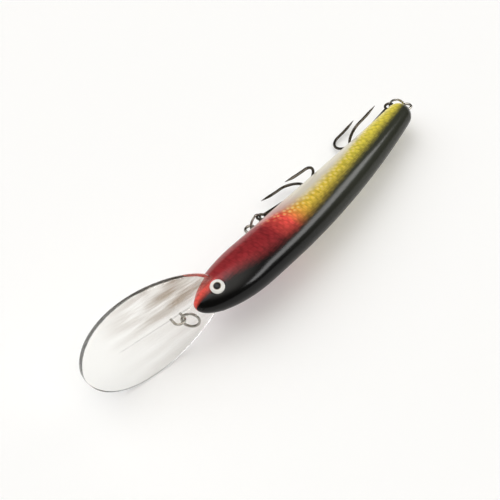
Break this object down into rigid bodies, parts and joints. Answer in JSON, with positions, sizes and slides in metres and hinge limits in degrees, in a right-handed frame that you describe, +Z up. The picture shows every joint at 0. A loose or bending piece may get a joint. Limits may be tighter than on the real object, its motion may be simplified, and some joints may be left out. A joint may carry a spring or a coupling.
{
  "type": "crankbait lure",
  "caption": "Deep-diving crankbait with a slim painted body, long clear lip and swinging treble hooks, lying on its flank.",
  "frame": {"origin": "on the table, under the middle of the lying lure's box", "axes": "+X towards the tail, +Y towards the belly side, +Z up; the right flank faces up"},
  "size_m": [0.1698, 0.0306, 0.0374],
  "materials": {
    "painted_body": "gloss clear coat over red, gold and black paint",
    "clear_lip": "clear polycarbonate",
    "wire": "stainless wire",
    "split_ring": "nickel plated spring steel",
    "hook": "black nickel",
    "eye_white": "gloss",
    "pupil_black": "gloss",
    "ballast": "cast slug",
    "ball": "polished steel"
  },
  "bodies": {
    "lure_body": {"body_shell_right": "painted_body", "body_shell_left": "painted_body", "diving_lip": "clear_lip", "line_tie": "wire", "belly_hanger": "wire", "tail_hanger": "wire", "eye_right": "eye_white", "eye_left": "eye_white", "pupil_right": "pupil_black", "pupil_left": "pupil_black", "head_weight": "ballast", "belly_weight": "ballast"},
    "line_ring": {"line_ring": "split_ring"},
    "belly_ring": {"belly_ring": "split_ring"},
    "belly_treble": {"belly_treble": "hook"},
    "tail_ring": {"tail_ring": "split_ring"},
    "tail_treble": {"tail_treble": "hook"},
    "rattle_ball": {"rattle_ball": "ball"}
  },
  "joints": [
    {"name": "line_ring_swing", "type": "hinge", "parent": "lure_body", "child": "line_ring", "pos_m": [-0.04963, -0.00144, 0.01928], "axis": [0.0679, 0.2301, 0.9708], "range_deg": [-85, 22]},
    {"name": "belly_ring_swing", "type": "hinge", "parent": "lure_body", "child": "belly_ring", "pos_m": [-0.0034, 0.00651, 0.01416], "axis": [0.0679, 0.2301, 0.9708], "range_deg": [0, 95]},
    {"name": "belly_treble_swing", "type": "hinge", "parent": "belly_ring", "child": "belly_treble", "pos_m": [0.00254, 0.00713, 0.0136], "axis": [0.0679, 0.2301, 0.9708], "range_deg": [0, 60]},
    {"name": "tail_ring_swing", "type": "hinge", "parent": "lure_body", "child": "tail_ring", "pos_m": [0.08237, -0.00184, 0.01014], "axis": [0.0679, 0.2301, 0.9708], "range_deg": [-100, 0]},
    {"name": "tail_treble_swing", "type": "hinge", "parent": "tail_ring", "child": "tail_treble", "pos_m": [0.08003, 0.00357, 0.00902], "axis": [0.0679, 0.2301, 0.9708], "range_deg": [-90, 0]},
    {"name": "rattle_roll", "type": "slide", "parent": "lure_body", "child": "rattle_ball", "axis": [0.9947, 0.06, -0.0838], "range_m": [0, 0.0104]}
  ]
}
